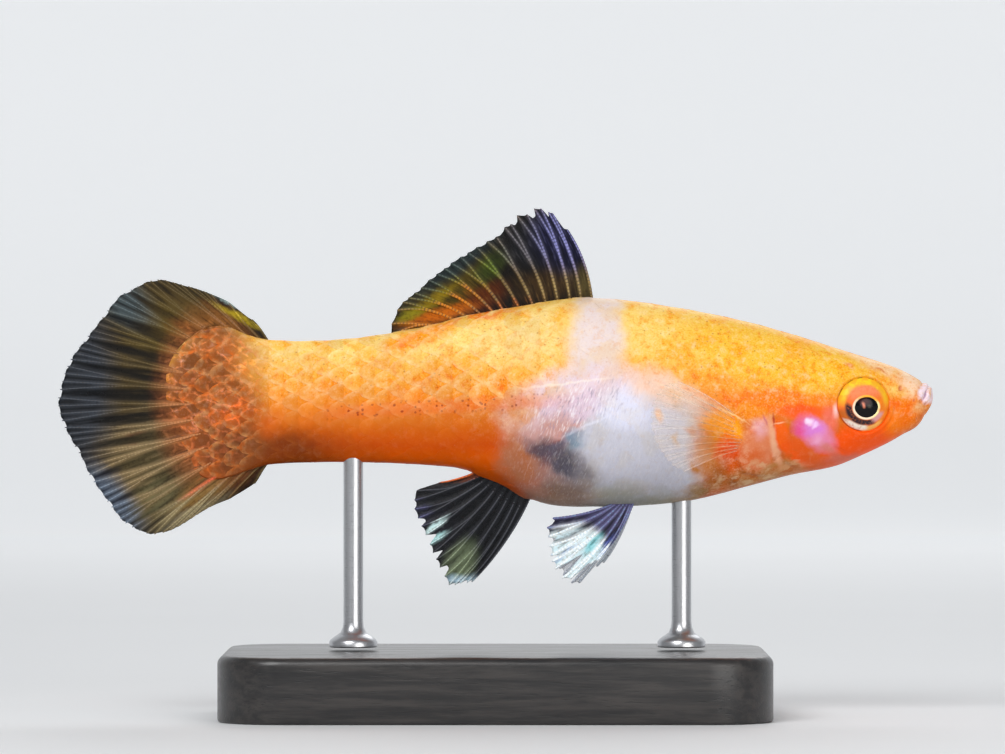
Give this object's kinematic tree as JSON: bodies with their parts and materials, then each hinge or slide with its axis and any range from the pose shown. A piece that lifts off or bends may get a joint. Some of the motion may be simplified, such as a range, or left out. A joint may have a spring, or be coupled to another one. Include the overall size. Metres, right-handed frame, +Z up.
{
  "type": "koi swordtail fish",
  "caption": "Life-size still model of a female koi swordtail swimming, held over a flat display base by slim rods.",
  "frame": {"origin": "middle of the stand's underside, which is also the middle of the object's box seen from above", "axes": "+X towards the fish's snout, +Y towards the fish's left side, +Z up"},
  "size_m": [0.08, 0.032, 0.0464],
  "materials": {
    "skin": "moist scaled skin, golden yellow, white and orange",
    "eyeball": "orange and silver iris under a clear cornea",
    "pupil": "black, glossy",
    "coloured_fin": "thin rayed membrane, olive yellow and smoky black",
    "clear_fin": "thin clear rayed membrane with pale blue-white tips",
    "base": "ebonised wood, satin",
    "rod": "turned and brushed"
  },
  "bodies": {
    "root": {"head": "skin", "lower_jaw": "skin", "gill_cover_right": "skin", "gill_cover_left": "skin", "trunk": "skin", "tail_stem": "skin", "eye_right": "eyeball", "eye_left": "eyeball", "pupil_right": "pupil", "pupil_left": "pupil", "dorsal_fin": "coloured_fin", "tail_fin": "coloured_fin", "anal_fin": "clear_fin", "pelvic_fin_right": "clear_fin", "pelvic_fin_left": "clear_fin", "pectoral_fin_right": "clear_fin", "pectoral_fin_left": "clear_fin", "stand_base": "base", "stand_rod_front": "rod", "stand_rod_rear": "rod"}
  },
  "joints": []
}
